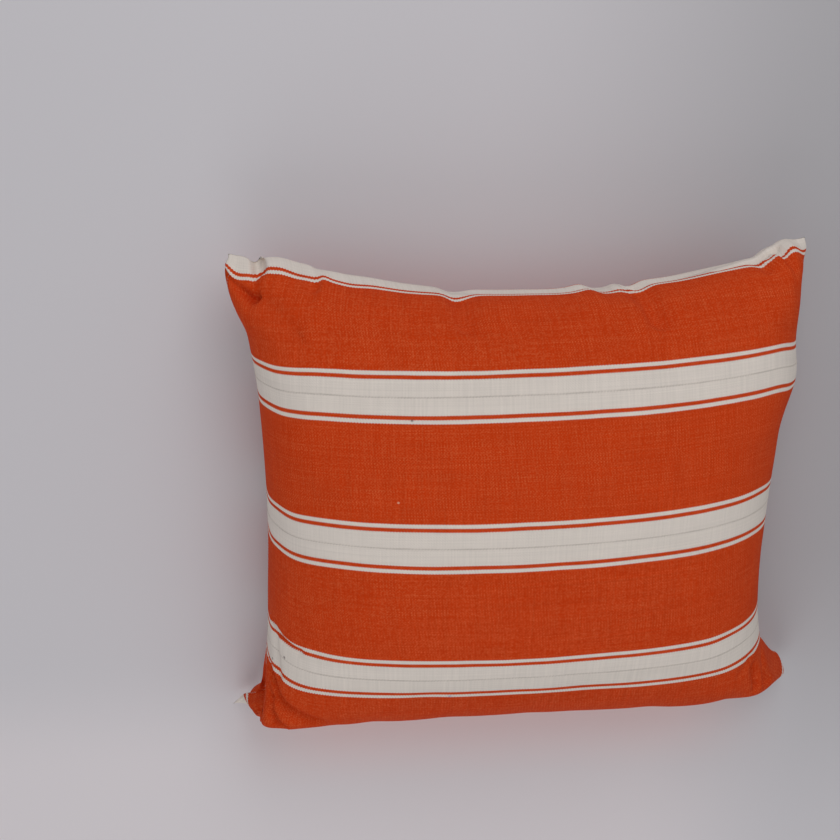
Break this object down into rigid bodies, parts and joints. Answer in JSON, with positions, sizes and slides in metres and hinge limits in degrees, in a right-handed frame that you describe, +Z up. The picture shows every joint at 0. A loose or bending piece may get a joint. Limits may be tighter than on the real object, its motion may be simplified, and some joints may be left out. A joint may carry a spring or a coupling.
{
  "type": "filled square cushion with a striped woven cover",
  "caption": "Square filled cushion lying on its back, crowned, with drawn-in sides, soft folds at head and foot, and pinched corner ears.",
  "frame": {"origin": "on the surface that the cushion lies on, under the middle of its box", "axes": "+X to the right across the striped face, +Y up the face from the foot fold to the head fold, +Z up out of the face"},
  "size_m": [0.6104, 0.5116, 0.217],
  "materials": {
    "striped_cotton": "matt plain weave, orange with undyed white stripes"
  },
  "bodies": {
    "root": {"cushion": "striped_cotton"}
  },
  "joints": []
}
